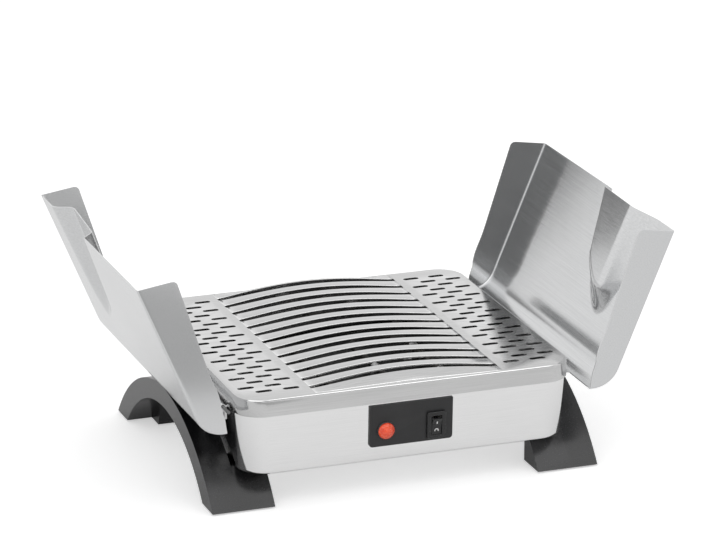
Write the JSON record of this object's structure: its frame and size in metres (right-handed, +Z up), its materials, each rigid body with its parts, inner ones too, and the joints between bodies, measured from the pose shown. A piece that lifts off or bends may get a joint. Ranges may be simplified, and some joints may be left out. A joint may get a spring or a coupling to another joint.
{
  "type": "plate warmer cabinet",
  "caption": "Table-top plate warmer with a slotted crowned deck, steel tub, arched legs and two hinged side hoods, stored open.",
  "frame": {"origin": "on the table under the middle of the deck", "axes": "+X to the right seen from the control panel, +Y to the back, +Z up"},
  "size_m": [0.4758, 0.2912, 0.2119],
  "materials": {
    "deck_steel": "satin, fine grain along the slots",
    "tub_steel": "polished satin",
    "hood_steel": "polished, nearly a mirror on the deck's side",
    "hinge_steel": "plain",
    "screw_steel": "plain",
    "rivet_metal": "plain",
    "panel_plastic": "fine grain",
    "switch_plastic": "semi-gloss",
    "dark_plastic": "plain",
    "lens": "orange-red, clear",
    "leg_plastic": "moulded satin",
    "pad_rubber": "dull",
    "chamber_enamel": "heat-proof black",
    "shield_metal": "bright rolled",
    "element_sheath": "heat-dulled",
    "thermostat_metal": "plain",
    "brass_terminals": "plain",
    "ceramic": "unglazed ceramic",
    "lead_sleeve": "braided heat-proof sleeve"
  },
  "bodies": {
    "base": {"deck_plate": "deck_steel", "deck_ribs": "deck_steel", "deck_screws": "screw_steel", "base_tub": "tub_steel", "control_panel": "panel_plastic", "pilot_lamp_lens": "lens", "pilot_lamp_body": "dark_plastic", "pilot_lamp_nut": "dark_plastic", "switch_housing": "switch_plastic", "right_hinge_leaves": "hinge_steel", "left_hinge_leaves": "hinge_steel", "right_hinge_rod": "hinge_steel", "left_hinge_rod": "hinge_steel", "hinge_rivets": "rivet_metal", "right_leg": "leg_plastic", "left_leg": "leg_plastic", "leg_screws": "screw_steel", "leg_nuts": "screw_steel", "foot_pads": "pad_rubber", "heat_reflector": "chamber_enamel", "reflector_standoffs": "screw_steel", "heating_element": "element_sheath", "element_terminals": "brass_terminals", "element_bushings": "ceramic", "element_clips": "screw_steel", "control_shield": "shield_metal", "thermostat": "thermostat_metal", "thermal_cutout": "thermostat_metal", "terminal_block": "ceramic", "earth_stud": "brass_terminals", "internal_leads": "lead_sleeve", "cable_gland": "dark_plastic", "gland_nut": "dark_plastic"},
    "right_hood_body": {"right_hood": "hood_steel"},
    "left_hood_body": {"left_hood": "hood_steel"},
    "rocker_body": {"switch_rocker": "switch_plastic"}
  },
  "joints": [
    {"name": "right_hood_hinge", "type": "hinge", "parent": "base", "child": "right_hood_body", "pos_m": [0.151, 0, 0.081], "axis": [0, -1, 0], "range_deg": [0, 108]},
    {"name": "left_hood_hinge", "type": "hinge", "parent": "base", "child": "left_hood_body", "pos_m": [-0.151, 0, 0.081], "axis": [0, 1, 0], "range_deg": [0, 108]},
    {"name": "rocker_pivot", "type": "hinge", "parent": "base", "child": "rocker_body", "pos_m": [0.023, -0.13794, 0.05852], "axis": [1, 0, 0], "range_deg": [-20, 0]}
  ]
}
